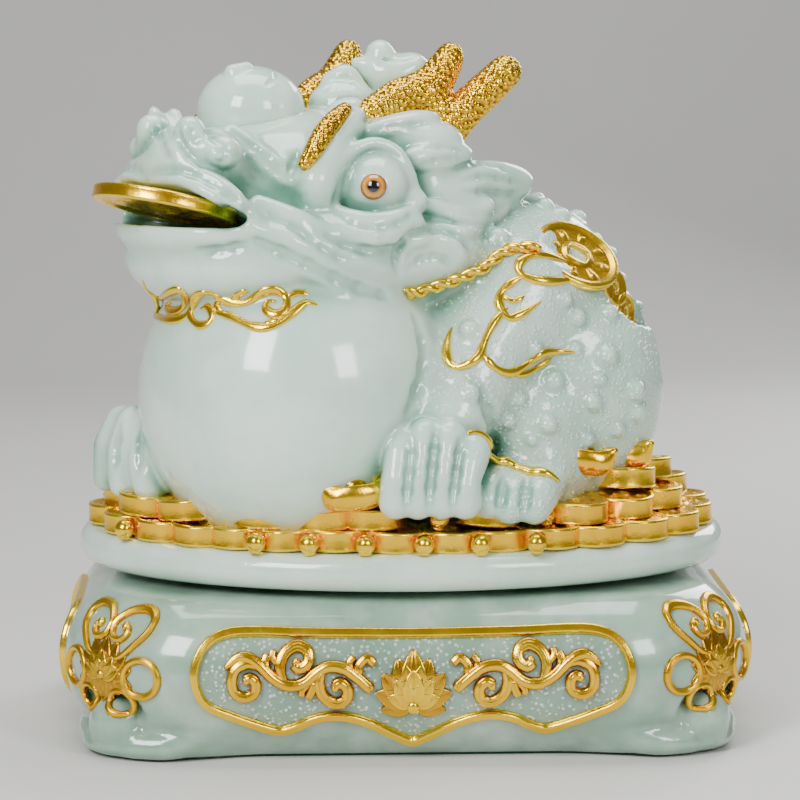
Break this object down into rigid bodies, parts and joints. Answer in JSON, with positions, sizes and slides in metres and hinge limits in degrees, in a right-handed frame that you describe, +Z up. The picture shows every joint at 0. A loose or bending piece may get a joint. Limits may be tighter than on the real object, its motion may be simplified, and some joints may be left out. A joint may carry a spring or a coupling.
{
  "type": "ornamental figurine on a turntable base",
  "caption": "Coin toad of imitation jade with gilded horns and coins, a loose coin in its mouth, sitting on an oval plate that turns on a bulged pedestal.",
  "frame": {"origin": "centre of the felt underside, on the surface the object stands on", "axes": "+Z up, -Y towards the decorated front panel, +X to the viewer's right"},
  "size_m": [0.3056, 0.2214, 0.305],
  "materials": {
    "pedestal_jade": "gloss",
    "plate_jade": "gloss",
    "toad_jade": "gloss",
    "gilding": "gilded, worn",
    "amber_glass": "gloss",
    "ring_aluminium": "satin",
    "screw_steel": "zinc plated",
    "ball_steel": "polished",
    "cage_nylon": "natural nylon",
    "board_fibre": "fibreboard",
    "felt": "felt"
  },
  "bodies": {
    "pedestal": {"back_lotus": "gilding", "back_panel_frame": "gilding", "back_scroll_left": "gilding", "back_scroll_right": "gilding", "base_felt": "felt", "bearing_outer_ring": "ring_aluminium", "bearing_outer_screws": "screw_steel", "bottom_board": "board_fibre", "bottom_board_screws": "screw_steel", "corner_medallion_back_left": "gilding", "corner_medallion_back_right": "gilding", "corner_medallion_front_left": "gilding", "corner_medallion_front_right": "gilding", "front_lotus": "gilding", "front_panel_frame": "gilding", "front_scroll_left": "gilding", "front_scroll_right": "gilding", "left_panel_frame": "gilding", "left_side_lotus": "gilding", "pedestal_casting": "pedestal_jade", "right_panel_frame": "gilding", "right_side_lotus": "gilding"},
    "ball_cage": {"bearing_ball_cage": "cage_nylon", "bearing_balls": "ball_steel"},
    "turntable": {"back_coin_garland": "gilding", "back_coin_large": "gilding", "bearing_inner_ring": "ring_aluminium", "bearing_inner_screws": "screw_steel", "brow_ball": "toad_jade", "chin_scroll_band": "gilding", "cloud_finial": "toad_jade", "coin_bed_lower": "gilding", "coin_bed_top": "gilding", "coin_bed_upper": "gilding", "gold_beads": "gilding", "gold_ingots": "gilding", "left_ankle_cord": "gilding", "left_brow_strip": "gilding", "left_eye": "amber_glass", "left_horn": "gilding", "left_neck_rope": "gilding", "left_shoulder_flame": "gilding", "right_brow_strip": "gilding", "right_eye": "amber_glass", "right_horn": "gilding", "right_neck_rope": "gilding", "right_shoulder_flame": "gilding", "toad_body": "toad_jade", "toad_bolts": "screw_steel", "turntable_plate": "plate_jade"},
    "mouth_coin": {"mouth_coin": "gilding"}
  },
  "joints": [
    {"name": "turntable_spin", "type": "hinge", "parent": "pedestal", "child": "turntable", "pos_m": [0, 0, 0.0665], "axis": [0, 0, 1], "continuous": true},
    {"name": "cage_spin", "type": "hinge", "parent": "pedestal", "child": "ball_cage", "pos_m": [0, 0, 0.0665], "axis": [0, 0, 1], "continuous": true},
    {"name": "mouth_coin_slide", "type": "slide", "parent": "turntable", "child": "mouth_coin", "axis": [-0.7414, -0.6151, 0.2682], "range_m": [0, 0.07]}
  ],
  "couplings": [
    {"joint": "cage_spin", "follows": "turntable_spin", "ratio": 0.5}
  ]
}
